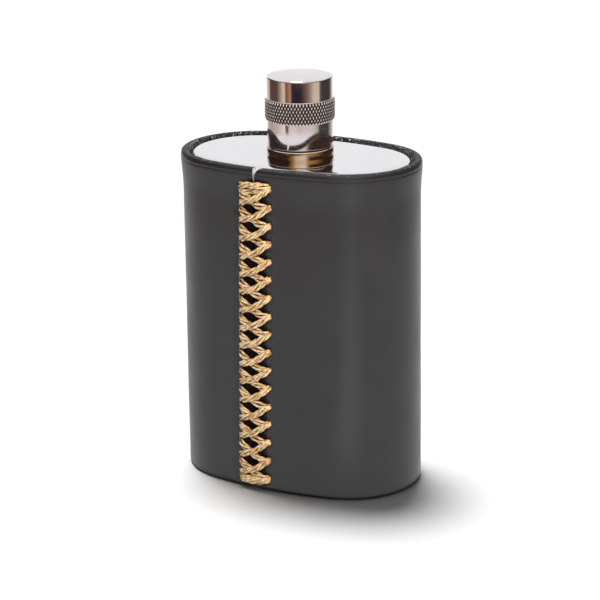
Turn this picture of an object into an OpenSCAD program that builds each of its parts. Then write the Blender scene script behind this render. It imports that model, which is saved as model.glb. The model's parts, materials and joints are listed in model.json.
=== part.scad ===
// Hip flask: an oval metal vessel in a laced leather sleeve, with a screw cap.
// The origin is the centre of the base, on the surface that the flask stands on.
// +Z is up, +X runs along the wide side, and -Y is the laced front.

/* [Leather sleeve] */
// Width of the sleeve, along X
sleeve_w = 73.6; // [68:0.2:80]
// Depth of the sleeve, along Y
sleeve_d = 45.8; // [44:0.2:48]
// Outer radius of the sleeve's two round ends
end_r = 21.3; // [20.5:0.1:21.8]
// Height of the sleeve's upper edge
sleeve_top = 98; // [90:0.5:110]
// Height of the sleeve's lower edge over the base
sleeve_foot = 0.4; // [0.2:0.1:0.8]
// Thickness of the leather
leather_t = 2.4; // [2:0.1:2.6]
// Width of the butt seam's slit
seam_gap = 0.4; // [0.2:0.1:0.8]
// Distance of the seam from the middle, towards -X
seam_offset = 3.8; // [0:0.2:8]

/* [Lacing] */
// Number of slot pairs along the seam
slot_pairs = 17; // [5:1:17]
// Distance from one slot to the next
slot_pitch = 5.5; // [5:0.1:5.6]
// Distance between the two rows of slots
row_gap = 10.2; // [8:0.2:12]
// Height of the lowest slot of the -X row
first_slot_z = 3.2; // [3:0.1:4]
// Rise of the +X row over the -X row
row_rise = 0.9; // [0:0.1:1.5]
// Width of the flat cord
cord_w = 1.9; // [1.4:0.1:2.2]
// Thickness of the flat cord
cord_t = 0.9; // [0.6:0.1:1]

/* [Vessel] */
// Thickness of the vessel's sheet metal
sheet_t = 0.8; // [0.6:0.1:1]
// Depth of the top plate's edge below the leather's upper edge
edge_recess = 1.9; // [1.5:0.1:2.5]
// Rise of the top plate from its edge to its middle
crown_rise = 1.5; // [0.5:0.1:2]
// Width of the sloping margin of the top plate
crown_w = 10; // [6:0.5:10]

/* [Neck] */
// Radius of the bore that the flask is filled through
bore_r = 5.4; // [5:0.1:5.6]
// Outer radius of the spout at the root of its thread
spout_r = 6.6; // [6.4:0.1:6.7]
// Height of the spout above the collar
spout_h = 11; // [10.5:0.5:12]
// Outer radius of the collar
collar_r = 9.8; // [9:0.1:10.5]
// Height of the collar above the top plate
collar_h = 2.4; // [1.5:0.1:3.5]
// Height of a thread ridge over its root
thread_h = 0.6; // [0.4:0.1:0.6]
// Distance from one thread ridge to the next
thread_pitch = 2; // [1.5:0.1:2]

/* [Cap] */
// Outer radius of the cap
cap_r = 9.6; // [9.5:0.1:10.5]
// Height of the cap
cap_h = 20.4; // [20:0.1:24]
// Gap between the cap's lower edge and the collar
cap_gap = 0.3; // [0.2:0.1:0.5]
// Outer radius of the knurled grip ring
grip_r = 10.2; // [10:0.1:11]
// Height of the knurled grip ring
grip_h = 6.5; // [5:0.5:8]
// Height of the grip ring's lower edge above the cap's lower edge
grip_z = 7.6; // [6:0.1:9]

/* [Hidden] */
$fn = 96;
eps = 0.01;

// The oval section has two end arcs of radius end_r, and two flank arcs that meet them in a tangent.
end_x = sleeve_w / 2 - end_r;
bulge = sleeve_d / 2 - end_r;
flank_y = (end_x * end_x - bulge * bulge) / (2 * bulge);
flank_r = flank_y + sleeve_d / 2;
join_reach = norm([end_x, flank_y]);
join_angle = atan2(flank_y, end_x);

// The vessel lies just inside the leather.
leather_gap = 0.1;
vessel_inset = -(leather_t + leather_gap);
wall_inset = vessel_inset - sheet_t;
flange_inset = wall_inset - sheet_t;
flange_h = 4;

// Heights
edge_z = sleeve_top - edge_recess;
deck_z = edge_z + crown_rise;
plate_z = edge_z - sheet_t;
collar_top = deck_z + collar_h;
rim_z = collar_top + spout_h;
cap_z = collar_top + cap_gap;
cap_top = cap_z + cap_h;

// Crown of the top plate, as an arc over its sloping margin
crown_r = (crown_w * crown_w + crown_rise * crown_rise) / (2 * crown_rise);
crown_steps = 6;

// Spout
spout_tail = 1.5;
spout_flange_r = 8.6;
spout_flange_t = 1;
thread_gap = 0.15;
ridge_w = thread_pitch * 0.6;
ridge_tip_w = thread_pitch * 0.2;
ridge_count = 4;
first_ridge_z = collar_top + 2.2;

// Cap
cap_wall = 0.7;
cap_chamfer = 0.4;
liner_r = cap_r - cap_wall;
liner_foot = 0.4;
liner_groove_r = spout_r + thread_h + thread_gap + thread_h;
seal_t = 1.5;
seal_r = spout_r + 0.4;
slip_t = 0.8;
liner_floor_z = rim_z + seal_t + slip_t;
liner_floor_t = 1.6;
liner_top = cap_top - cap_wall;
grip_bevel = 0.6;

// Lacing
under_lift = 0.1;
over_lift = under_lift + cord_t * 0.9;
bar_lift = under_lift + cord_t * 0.4;
strand_over = 0.7;
back_run_t = 0.9;
recess_t = back_run_t + 0.2;
recess_margin = 1.6;
slot_w = 1.9;
slot_h = 2.4;
leg_w = 1.5;
leg_h = 1.8;
notch_w = 3;
notch_h = 2.6;

// Depth of the sleeve's front face at a distance x from the middle
function front_y(x) = flank_y - sqrt(flank_r * flank_r - x * x);

// Slot i of the row on side s, which is -1 towards -X and 1 towards +X
function slot_x(s) = -seam_offset + s * row_gap / 2;
function slot_z(s, i) = first_slot_z + i * slot_pitch + (s > 0 ? row_rise : 0);

// Profile of the top plate's upper face at a distance s inside its edge
function crown_at(s) = crown_rise - crown_r + sqrt(crown_r * crown_r - pow(crown_w - s, 2));
crown_line = [for (i = [0:crown_steps]) [i * crown_w / crown_steps, crown_at(i * crown_w / crown_steps)]];

// Solid of the oval section, grown outwards by grow
module oval_prism(grow, h) {
    half_w = end_x * (1 + (end_r + grow) / join_reach);
    for (s = [-1, 1])
        translate([s * end_x, 0, 0])
            cylinder(r = end_r + grow, h = h);
    intersection() {
        translate([0, flank_y, 0])
            cylinder(r = flank_r + grow, h = h, $fn = 360);
        translate([0, -flank_y, 0])
            cylinder(r = flank_r + grow, h = h, $fn = 360);
        translate([-half_w, -sleeve_d, 0])
            cube([2 * half_w, 2 * sleeve_d, h]);
    }
}

// Wall between two oval sections
module oval_tube(grow, inner_grow, h) {
    difference() {
        oval_prism(grow, h);
        translate([0, 0, -eps])
            oval_prism(inner_grow, h + 2 * eps);
    }
}

// Sweeps a profile round the oval. Its points are [distance inside the edge, height].
module oval_sweep(grow, profile) {
    for (s = [0, 180])
        rotate([0, 0, s]) {
            translate([end_x, 0, 0])
                rotate([0, 0, -join_angle])
                    rotate_extrude(angle = 2 * join_angle)
                        polygon([for (p = profile) [end_r + grow - p[0], p[1]]]);
            translate([0, -flank_y, 0])
                rotate([0, 0, join_angle])
                    rotate_extrude(angle = 180 - 2 * join_angle, $fn = 720)
                        polygon([for (p = profile) [flank_r + grow - p[0], p[1]]]);
        }
}

// Ring between two radii
module ring(r, inner_r, h) {
    difference() {
        cylinder(r = r, h = h);
        translate([0, 0, -eps])
            cylinder(r = inner_r, h = h + 2 * eps);
    }
}

// Thread ridge that stands on radius r, outwards when out is 1 and inwards when it is -1
module thread_ridge(r, out) {
    rotate_extrude()
        polygon([
            [r - out * 0.1, -ridge_w / 2],
            [r, -ridge_w / 2],
            [r + out * thread_h, -ridge_tip_w / 2],
            [r + out * thread_h, ridge_tip_w / 2],
            [r, ridge_w / 2],
            [r - out * 0.1, ridge_w / 2]
        ]);
}

// Places its children on the sleeve's front face, with -Y pointing straight out of the leather
module on_front(x, z) {
    translate([x, front_y(x), z])
        rotate([0, 0, asin(x / flank_r)])
            children();
}

// Oval side wall of the vessel
module body_shell() {
    color("silver")
        translate([0, 0, sheet_t])
            oval_tube(vessel_inset, wall_inset, plate_z - sheet_t);
}

// Bottom of the vessel, with a flange inside the wall
module base_plate() {
    color("gainsboro") {
        oval_prism(vessel_inset, sheet_t);
        translate([0, 0, sheet_t - eps])
            oval_tube(wall_inset, flange_inset, flange_h);
    }
}

// Polished top of the vessel, with a crowned face and a flange inside the wall
module top_plate() {
    color("whitesmoke")
        difference() {
            union() {
                translate([0, 0, plate_z - flange_h])
                    oval_tube(wall_inset, flange_inset, flange_h + sheet_t / 2);
                translate([0, 0, plate_z])
                    oval_prism(vessel_inset, sheet_t + crown_rise);
            }
            translate([0, 0, edge_z])
                oval_sweep(vessel_inset, concat([[-1, 2 * crown_rise], [-1, 0]], crown_line, [[crown_w, 2 * crown_rise]]));
            translate([0, 0, plate_z - 1])
                oval_prism(vessel_inset - crown_w, crown_rise + 1);
            translate([0, 0, plate_z - flange_h])
                cylinder(r = spout_r, h = 2 * flange_h);
        }
}

// Low ring on the top plate that the cap stands over
module neck_collar() {
    color("darkgoldenrod")
        translate([0, 0, deck_z])
            ring(collar_r, spout_r, collar_h);
}

// Threaded spout, brazed through the top plate
module neck_spout() {
    tail_z = deck_z - sheet_t - spout_tail;
    color("goldenrod")
        difference() {
            union() {
                translate([0, 0, tail_z])
                    cylinder(r = spout_r, h = rim_z - tail_z);
                translate([0, 0, deck_z - sheet_t - spout_flange_t])
                    cylinder(r = spout_flange_r, h = spout_flange_t);
                for (i = [0:ridge_count - 1])
                    translate([0, 0, first_ridge_z + i * thread_pitch])
                        thread_ridge(spout_r, 1);
            }
            translate([0, 0, tail_z - eps])
                cylinder(r = bore_r, h = rim_z - tail_z + 2 * eps);
        }
}

// Leather wrapped round the vessel, with a butt seam, two rows of slots and a thinned inner face behind them
module leather_sleeve() {
    recess_w = row_gap + 2 * recess_margin;
    recess_z = first_slot_z - slot_h;
    recess_h = slot_z(1, slot_pairs - 1) - recess_z + slot_h;
    color([0.13, 0.13, 0.14])
        difference() {
            translate([0, 0, sleeve_foot])
                oval_tube(0, -leather_t, sleeve_top - sleeve_foot);
            on_front(-seam_offset, 0)
                translate([-seam_gap / 2, -1, -eps])
                    cube([seam_gap, leather_t + 2, sleeve_top + 2 * eps]);
            on_front(-seam_offset, sleeve_top)
                rotate([-90, 0, 0])
                    linear_extrude(height = 2 * leather_t + 2, center = true)
                        polygon([[-notch_w / 2, -eps], [notch_w / 2, -eps], [0, notch_h]]);
            for (s = [-1, 1], i = [0:slot_pairs - 1])
                on_front(slot_x(s), slot_z(s, i))
                    translate([-slot_w / 2, -1, -slot_h / 2])
                        cube([slot_w, leather_t + 2, slot_h]);
            on_front(-seam_offset, max(recess_z, sleeve_foot + 1))
                translate([-recess_w / 2, leather_t - recess_t, 0])
                    cube([recess_w, recess_t + 1, recess_h]);
        }
}

// Flat strand across the front from height za in the -X row to height zb in the +X row
module strand(za, zb, lift) {
    run = [row_gap, zb - za];
    translate([0, -lift - cord_t, (za + zb) / 2])
        rotate([0, -atan2(run[1], run[0]), 0])
            translate([-(norm(run) + strand_over) / 2, 0, -cord_w / 2])
                cube([norm(run) + strand_over, cord_t, cord_w]);
}

// The cord's leg through the leather at one slot
module cord_leg(s, i) {
    translate([s * row_gap / 2 - leg_w / 2, -over_lift - cord_t / 2, slot_z(s, i) - leg_h / 2])
        cube([leg_w, over_lift + cord_t / 2 + leather_t - back_run_t / 2, leg_h]);
}

// The cord's run behind the leather from one row to the other
module back_run(i) {
    run_w = row_gap + leg_w / 2;
    run_h = leg_h / 2 + row_rise;
    translate([-run_w / 2, leather_t - back_run_t - 0.1, (slot_z(-1, i) + slot_z(1, i) - run_h) / 2])
        cube([run_w, back_run_t, run_h]);
}

// The whole lacing: crossed stitches, a bar stitch at each end, and the runs behind the leather
module lacing_cord() {
    color([0.78, 0.58, 0.27])
        on_front(-seam_offset, 0) {
            for (i = [0:slot_pairs - 2]) {
                strand(slot_z(-1, i + 1), slot_z(1, i), under_lift);
                strand(slot_z(-1, i), slot_z(1, i + 1), over_lift);
            }
            for (i = [0, slot_pairs - 1])
                strand(slot_z(-1, i), slot_z(1, i), bar_lift);
            for (i = [0:slot_pairs - 1]) {
                back_run(i);
                for (s = [-1, 1])
                    cord_leg(s, i);
            }
        }
}

// Soft disc on the spout's rim
module cap_seal() {
    color("ivory")
        translate([0, 0, rim_z])
            cylinder(r = seal_r, h = seal_t);
}

// Hard disc that lets the cap turn without rubbing the seal
module cap_slip_disc() {
    color("lightblue")
        translate([0, 0, rim_z + seal_t])
            cylinder(r = seal_r, h = slip_t);
}

// Threaded insert of the cap, with a floor over the seal
module cap_liner() {
    z = cap_z + liner_foot;
    chamber_z = first_ridge_z + ridge_count * thread_pitch;
    color("dimgray") {
        difference() {
            translate([0, 0, z])
                cylinder(r = liner_r, h = liner_top - z);
            translate([0, 0, z - eps])
                cylinder(r = liner_groove_r, h = liner_floor_z - z + eps);
            translate([0, 0, liner_floor_z + liner_floor_t])
                cylinder(r = liner_groove_r, h = liner_top - liner_floor_z);
        }
        for (i = [0:ridge_count - 1])
            translate([0, 0, chamber_z - (i + 0.5) * thread_pitch])
                thread_ridge(liner_groove_r, -1);
    }
}

// Outer shell of the cap
module cap_shell() {
    color("peru")
        difference() {
            translate([0, 0, cap_z])
                rotate_extrude()
                    polygon([
                        [0, 0],
                        [cap_r, 0],
                        [cap_r, cap_h - cap_chamfer],
                        [cap_r - cap_chamfer, cap_h],
                        [0, cap_h]
                    ]);
            translate([0, 0, cap_z - eps])
                cylinder(r = liner_r, h = liner_top - cap_z + eps);
        }
}

// Knurled ring pressed over the cap
module cap_grip_ring() {
    color("sienna")
        translate([0, 0, cap_z + grip_z])
            rotate_extrude()
                polygon([
                    [cap_r, 0],
                    [grip_r - grip_bevel / 2, 0],
                    [grip_r, grip_bevel],
                    [grip_r, grip_h - grip_bevel],
                    [grip_r - grip_bevel / 2, grip_h],
                    [cap_r, grip_h]
                ]);
}

body_shell();
base_plate();
top_plate();
neck_collar();
neck_spout();
leather_sleeve();
lacing_cord();
cap_seal();
cap_slip_disc();
cap_liner();
cap_shell();
cap_grip_ring();
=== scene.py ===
"""Looks of the hip flask: a laced leather sleeve, a polished top plate and a turned screw cap.

Every size is in metres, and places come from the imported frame.
"""
import bisect
import json
import math

import bpy
from mathutils import Matrix, Vector, noise

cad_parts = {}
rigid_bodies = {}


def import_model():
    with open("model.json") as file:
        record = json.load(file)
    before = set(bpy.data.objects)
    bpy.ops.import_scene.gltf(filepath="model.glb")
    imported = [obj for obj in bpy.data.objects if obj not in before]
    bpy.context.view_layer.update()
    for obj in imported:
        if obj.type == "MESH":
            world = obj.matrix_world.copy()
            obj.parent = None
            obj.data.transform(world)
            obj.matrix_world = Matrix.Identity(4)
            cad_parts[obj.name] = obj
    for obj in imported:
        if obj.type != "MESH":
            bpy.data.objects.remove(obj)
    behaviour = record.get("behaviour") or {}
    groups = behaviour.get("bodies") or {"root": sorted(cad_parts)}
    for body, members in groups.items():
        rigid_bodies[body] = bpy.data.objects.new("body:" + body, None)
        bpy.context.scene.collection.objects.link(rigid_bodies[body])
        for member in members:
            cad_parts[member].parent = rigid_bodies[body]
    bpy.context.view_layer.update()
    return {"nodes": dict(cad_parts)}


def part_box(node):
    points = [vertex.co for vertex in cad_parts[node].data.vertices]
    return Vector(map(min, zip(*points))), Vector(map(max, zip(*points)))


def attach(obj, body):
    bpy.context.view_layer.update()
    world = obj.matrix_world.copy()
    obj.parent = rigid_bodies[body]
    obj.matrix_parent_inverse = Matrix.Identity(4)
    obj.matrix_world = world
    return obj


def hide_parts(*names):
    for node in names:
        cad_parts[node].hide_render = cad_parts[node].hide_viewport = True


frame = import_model()

MM = 0.001
FULL_TURN = 2 * math.pi

# ---------------------------------------------------------------- sizes from the frame

sleeve_lo, sleeve_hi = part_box("leather_sleeve")
plate_lo, plate_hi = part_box("top_plate")
_, base_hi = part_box("base_plate")
collar_lo, collar_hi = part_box("neck_collar")
spout_lo, spout_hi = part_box("neck_spout")
cap_lo, cap_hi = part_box("cap_shell")
grip_lo, grip_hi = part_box("cap_grip_ring")
liner_lo, liner_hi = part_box("cap_liner")
seal_lo, seal_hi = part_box("cap_seal")
slip_lo, slip_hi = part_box("cap_slip_disc")

SLEEVE_TOP = sleeve_hi.z
SLEEVE_FOOT = sleeve_lo.z
DECK_Z = plate_hi.z
COLLAR_R = collar_hi.x
CAP_R = cap_hi.x
GRIP_R = grip_hi.x
LINER_R = liner_hi.x

# ---------------------------------------------------------------- sizes that the frame doesn't state

END_R = 21.3 * MM
LEATHER_T = 2.4 * MM
SHEET_T = 0.8 * MM
PLATE_INSET = 2.5 * MM
CROWN_RISE = 1.5 * MM
CROWN_W = 10 * MM
CROWN_POWER = 12

SEAM_X = -3.8 * MM
SEAM_LEAN = 0.9 * MM
ROW_GAP = 10.2 * MM
SLOT_PAIRS = 17
SLOT_PITCH = 5.5 * MM
FIRST_SLOT_Z = 3.2 * MM
ROW_RISE = 0.9 * MM
ROW_BOW = 0.8 * MM

BORE_R = 5.4 * MM
SPOUT_R = 6.6 * MM
SPOUT_FLANGE_R = 8.6 * MM
SPOUT_FLANGE_T = 1 * MM
THREAD_H = 0.6 * MM
THREAD_PITCH = 2 * MM
THREAD_GAP = 0.15 * MM
GROOVE_R = SPOUT_R + 2 * THREAD_H + THREAD_GAP


# ---------------------------------------------------------------- small maths

def mix(a, b, t):
    """The value a share t of the way from a to b."""
    return a + (b - a) * t


def clamp(x, low=0.0, high=1.0):
    """x kept between low and high."""
    return max(low, min(high, x))


def smooth(x, start, end):
    """Smooth step from 0 at start to 1 at end."""
    t = clamp((x - start) / (end - start))
    return t * t * (3 - 2 * t)


def hump(x, width):
    """Bell curve, 1 at 0, that dies away over width."""
    return math.exp(-(x / width) ** 2)


def spread(start, end, count):
    """count values from start to end, both included."""
    return [mix(start, end, i / (count - 1)) for i in range(count)]


def spline(points, per_span):
    """Points along a smooth curve through the given points."""
    ends = [points[0] * 2 - points[1]] + list(points) + [points[-1] * 2 - points[-2]]
    out = []
    for i in range(1, len(ends) - 2):
        p0, p1, p2, p3 = ends[i - 1:i + 3]
        for k in range(per_span):
            t = k / per_span
            out.append(0.5 * (2 * p1 + (p2 - p0) * t + (2 * p0 - 5 * p1 + 4 * p2 - p3) * t ** 2
                              + (3 * p1 - p0 - 3 * p2 + p3) * t ** 3))
    out.append(Vector(points[-1]))
    return out


# ---------------------------------------------------------------- the oval section

class Oval:
    """Section of four tangent arcs. Distance s runs round the outside from the middle of the front to +X."""

    def __init__(self, half_w, half_d, end_r):
        self.end_x = half_w - end_r
        bulge = half_d - end_r
        self.flank_y = (self.end_x ** 2 - bulge ** 2) / (2 * bulge)
        self.flank_r = self.flank_y + half_d
        self.end_r = end_r
        join = math.atan2(self.flank_y, self.end_x)
        right = math.pi / 2
        self.arcs = [
            ((0, self.flank_y), self.flank_r, -right, -join),
            ((self.end_x, 0), end_r, -join, join),
            ((0, -self.flank_y), self.flank_r, join, math.pi - join),
            ((-self.end_x, 0), end_r, math.pi - join, math.pi + join),
            ((0, self.flank_y), self.flank_r, math.pi + join, math.pi + right),
        ]
        self.starts = [0]
        for _, r, a, b in self.arcs:
            self.starts.append(self.starts[-1] + r * (b - a))
        self.length = self.starts[-1]

    def at(self, s, grow=0.0):
        """Point (x, y) at distance s, moved outwards by grow, and the outward direction."""
        s = s % self.length
        i = min(bisect.bisect_right(self.starts, s) - 1, len(self.arcs) - 1)
        centre, r, a, _ = self.arcs[i]
        angle = a + (s - self.starts[i]) / r
        out = Vector((math.cos(angle), math.sin(angle)))
        return Vector(centre) + out * (r + grow), out


oval = Oval(sleeve_hi.x, sleeve_hi.y, END_R)
SEAM_S = oval.flank_r * math.asin(SEAM_X / oval.flank_r)


def seam_line(z):
    """Distance of the seam round the sleeve at height z: it leans towards +X as it rises."""
    return SEAM_S + SEAM_LEAN * (2 * z / SLEEVE_TOP - 1)


def seam_place(u, z, lift):
    """Point at distance u past the seam round the sleeve, at height z, lift outside the leather."""
    (x, y), _ = oval.at(seam_line(z) + u, lift)
    return Vector((x, y, z))


def row_bow(z):
    """How much higher than even spacing a slot at height z was punched: most halfway up."""
    share = clamp((z - FIRST_SLOT_Z) / ((SLOT_PAIRS - 1) * SLOT_PITCH))
    return ROW_BOW * math.sin(math.pi * share)


def slot_z(side, i):
    """Height of slot i in the row on that side of the seam."""
    even = FIRST_SLOT_Z + i * SLOT_PITCH
    return even + row_bow(even) + (ROW_RISE if side > 0 else 0)


# ---------------------------------------------------------------- mesh helpers

def make_piece(name, verts, faces, materials, face_slots=None, loop_uv=None, hollow=None):
    """A smooth-shaded mesh piece. hollow gives each point's share of the darkening in hollows: painted shade
    on the leather and the cord, patina with painted shade in the knurl's grooves.
    """
    mesh = bpy.data.meshes.new(name)
    mesh.from_pydata([tuple(v) for v in verts], [], faces)
    for material in materials:
        mesh.materials.append(material)
    if face_slots:
        mesh.polygons.foreach_set("material_index", face_slots)
    if loop_uv:
        layer = mesh.uv_layers.new(name="UVMap")
        for loop in mesh.loops:
            layer.data[loop.index].uv = loop_uv[loop.vertex_index]
    if hollow:
        mesh.attributes.new("hollow", "FLOAT", "POINT").data.foreach_set("value", hollow)
    mesh.polygons.foreach_set("use_smooth", [True] * len(mesh.polygons))
    mesh.validate()
    mesh.update()
    piece = bpy.data.objects.new(name, mesh)
    bpy.context.scene.collection.objects.link(piece)
    return piece


def dress(piece, body, node):
    """Makes a piece ride on its body in place of a CAD node."""
    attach(piece, body)
    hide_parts(node)


def stitch_rings(rings, closed=False):
    """Faces between rings of equal length, each ring closed. closed joins the last ring to the first."""
    n = len(rings[0])
    verts = [p for ring in rings for p in ring]
    faces = []
    last = len(rings) if closed else len(rings) - 1
    for i in range(last):
        a = i * n
        b = ((i + 1) % len(rings)) * n
        for k in range(n):
            m = (k + 1) % n
            faces.append((a + k, a + m, b + m, b + k))
    return verts, faces


def fillet(points, radius, steps=4):
    """Rounds each inner corner of an open profile by up to radius."""
    out = [Vector(points[0])]
    for before, corner, after in zip(points, points[1:], points[2:]):
        before, corner, after = Vector(before), Vector(corner), Vector(after)
        reach = min(radius, (before - corner).length / 2.1, (after - corner).length / 2.1)
        start = corner + (before - corner).normalized() * reach
        end = corner + (after - corner).normalized() * reach
        for k in range(steps + 1):
            t = k / steps
            out.append(start * (1 - t) ** 2 + corner * 2 * t * (1 - t) + end * t * t)
    out.append(Vector(points[-1]))
    return out


def turned(name, profile, material, radius=0.15 * MM, segments=160):
    """A lathe-turned ring or cup. The profile is closed unless both its ends lie on the axis."""
    on_axis = profile[0][0] == 0 and profile[-1][0] == 0
    if on_axis:
        line = fillet(profile, radius)[1:-1]
    else:
        line = fillet(list(profile) + [profile[0], profile[1]], radius)[1:-1]
    rings = [
        [(p[0] * math.cos(a), p[0] * math.sin(a), p[1]) for a in spread(0, FULL_TURN, segments + 1)[:-1]]
        for p in line
    ]
    verts, faces = stitch_rings(rings, closed=not on_axis)
    if on_axis:
        for ring_index, z, flip in ((0, profile[0][1], True), (len(rings) - 1, profile[-1][1], False)):
            centre = len(verts)
            verts.append((0, 0, z))
            base = ring_index * segments
            for k in range(segments):
                tri = (base + k, base + (k + 1) % segments, centre)
                faces.append(tri[::-1] if flip else tri)
    return make_piece(name, verts, faces, [material])


# ---------------------------------------------------------------- material helpers

def add_node(tree, kind, **values):
    """A node of that kind, with inputs set by name and properties set by attribute."""
    node = tree.nodes.new(kind)
    for key, value in values.items():
        if hasattr(node, key):
            setattr(node, key, value)
        else:
            node.inputs[key.replace("_", " ")].default_value = value
    return node


def ramp(tree, stops, source=None):
    """A colour ramp with the given (position, grey or colour) stops."""
    node = tree.nodes.new("ShaderNodeValToRGB")
    elements = node.color_ramp.elements
    while len(elements) < len(stops):
        elements.new(0.5)
    for element, (position, colour) in zip(elements, stops):
        element.position = position
        if isinstance(colour, (int, float)):
            colour = (colour, colour, colour)
        element.color = (*colour, 1)
    if source is not None:
        tree.links.new(source, node.inputs["Fac"])
    return node.outputs["Color"]


def new_group(name, inputs, outputs):
    """An empty shader node group with named sockets, given as (name, kind, default)."""
    group = bpy.data.node_groups.new(name, "ShaderNodeTree")
    for label, kind, default in inputs:
        socket = group.interface.new_socket(label, in_out="INPUT", socket_type=kind)
        socket.default_value = default
    for label, kind in outputs:
        group.interface.new_socket(label, in_out="OUTPUT", socket_type=kind)
    return group, group.nodes.new("NodeGroupInput"), group.nodes.new("NodeGroupOutput")


def use_group(tree, group, **values):
    """A copy of a group in a material, with its inputs set by name."""
    node = tree.nodes.new("ShaderNodeGroup")
    node.node_tree = group
    for key, value in values.items():
        node.inputs[key.replace("_", " ")].default_value = value
    return node


def object_noise(tree, scale, detail=4.0, rough=0.55, stretch=(1, 1, 1)):
    """Noise in the object's own coordinates, stretched along its axes."""
    place = tree.nodes.new("ShaderNodeTexCoord")
    mapping = tree.nodes.new("ShaderNodeMapping")
    mapping.inputs["Scale"].default_value = stretch
    texture = add_node(tree, "ShaderNodeTexNoise", Scale=scale, Detail=detail, Roughness=rough)
    tree.links.new(place.outputs["Object"], mapping.inputs["Vector"])
    tree.links.new(mapping.outputs["Vector"], texture.inputs["Vector"])
    return texture.outputs["Fac"]


def make_uneven_group():
    """Cloudy unevenness: a colour that drifts between two tints, and a roughness that drifts round a mean."""
    group, given, out = new_group(
        "uneven_finish",
        [("Colour", "NodeSocketColor", (0.5, 0.5, 0.5, 1)), ("Tint", "NodeSocketColor", (0.4, 0.4, 0.4, 1)),
         ("Roughness", "NodeSocketFloat", 0.4), ("Spread", "NodeSocketFloat", 0.1),
         ("Scale", "NodeSocketFloat", 60.0)],
        [("Colour", "NodeSocketColor"), ("Roughness", "NodeSocketFloat")],
    )
    place = group.nodes.new("ShaderNodeTexCoord")
    clouds = add_node(group, "ShaderNodeTexNoise", Detail=5.0, Roughness=0.6)
    group.links.new(place.outputs["Object"], clouds.inputs["Vector"])
    group.links.new(given.outputs["Scale"], clouds.inputs["Scale"])
    mask = ramp(group, [(0.32, 0.0), (0.68, 1.0)], clouds.outputs["Fac"])
    blend = add_node(group, "ShaderNodeMix", data_type="RGBA")
    group.links.new(mask, blend.inputs[0])
    group.links.new(given.outputs["Colour"], blend.inputs[6])
    group.links.new(given.outputs["Tint"], blend.inputs[7])
    centred = add_node(group, "ShaderNodeMath", operation="SUBTRACT")
    centred.inputs[1].default_value = 0.5
    group.links.new(mask, centred.inputs[0])
    scaled = add_node(group, "ShaderNodeMath", operation="MULTIPLY_ADD")
    group.links.new(centred.outputs[0], scaled.inputs[0])
    group.links.new(given.outputs["Spread"], scaled.inputs[1])
    group.links.new(given.outputs["Roughness"], scaled.inputs[2])
    group.links.new(blend.outputs[2], out.inputs["Colour"])
    group.links.new(scaled.outputs[0], out.inputs["Roughness"])
    return group


def make_wear_group():
    """Worn edges and dark hollows: the worn colour follows how the surface bends, and the hollow attribute
    darkens the colour, as painted shade on the leather and as patina with painted shade in the knurl's
    grooves.
    """
    group, given, out = new_group(
        "edge_wear",
        [("Colour", "NodeSocketColor", (0.5, 0.5, 0.5, 1)),
         ("Worn Colour", "NodeSocketColor", (0.8, 0.8, 0.8, 1)),
         ("Amount", "NodeSocketFloat", 0.5), ("Patina", "NodeSocketFloat", 0.0),
         ("Hollow Colour", "NodeSocketColor", (0.02, 0.02, 0.02, 1))],
        [("Colour", "NodeSocketColor"), ("Hollow", "NodeSocketFloat")],
    )
    shape = group.nodes.new("ShaderNodeNewGeometry")
    place = group.nodes.new("ShaderNodeTexCoord")
    breakup = add_node(group, "ShaderNodeTexNoise", Scale=900.0, Detail=3.0)
    group.links.new(place.outputs["Object"], breakup.inputs["Vector"])
    edge = ramp(group, [(0.52, 0.0), (0.62, 1.0)], shape.outputs["Pointiness"])
    broken = add_node(group, "ShaderNodeMath", operation="MULTIPLY")
    group.links.new(edge, broken.inputs[0])
    group.links.new(ramp(group, [(0.35, 0.2), (0.6, 1.0)], breakup.outputs["Fac"]), broken.inputs[1])
    amount = add_node(group, "ShaderNodeMath", operation="MULTIPLY")
    group.links.new(broken.outputs[0], amount.inputs[0])
    group.links.new(given.outputs["Amount"], amount.inputs[1])
    blend = add_node(group, "ShaderNodeMix", data_type="RGBA")
    group.links.new(amount.outputs[0], blend.inputs[0])
    group.links.new(given.outputs["Colour"], blend.inputs[6])
    group.links.new(given.outputs["Worn Colour"], blend.inputs[7])
    gathered = add_node(group, "ShaderNodeAttribute", attribute_name="hollow")
    hollow = add_node(group, "ShaderNodeMath", operation="MULTIPLY")
    group.links.new(gathered.outputs["Fac"], hollow.inputs[0])
    group.links.new(given.outputs["Patina"], hollow.inputs[1])
    darkened = add_node(group, "ShaderNodeMix", data_type="RGBA")
    group.links.new(given.outputs["Hollow Colour"], darkened.inputs[7])
    group.links.new(hollow.outputs[0], darkened.inputs[0])
    group.links.new(blend.outputs[2], darkened.inputs[6])
    group.links.new(darkened.outputs[2], out.inputs["Colour"])
    group.links.new(hollow.outputs[0], out.inputs["Hollow"])
    return group


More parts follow.
